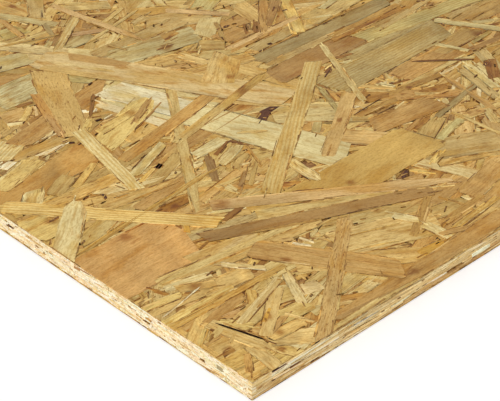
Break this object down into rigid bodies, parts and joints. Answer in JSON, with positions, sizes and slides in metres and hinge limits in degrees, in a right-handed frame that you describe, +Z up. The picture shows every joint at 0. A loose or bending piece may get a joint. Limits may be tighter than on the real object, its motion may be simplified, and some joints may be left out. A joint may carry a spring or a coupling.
{
  "type": "osb panel",
  "caption": "Flat square-edged sheet of oriented strand board, pressed from crossing wood strands, for sheathing, decking and lining.",
  "frame": {"origin": "middle of the lower face, which the sheet lies on", "axes": "+X along the sheet's length and its main strand direction, +Y across its width, +Z up through its thickness to the upper face"},
  "size_m": [2.5, 1.25, 0.012],
  "materials": {
    "strand_board": "bare pressed wood strands, lightly resin-glazed, satin"
  },
  "bodies": {
    "root": {"osb_panel": "strand_board"}
  },
  "joints": []
}
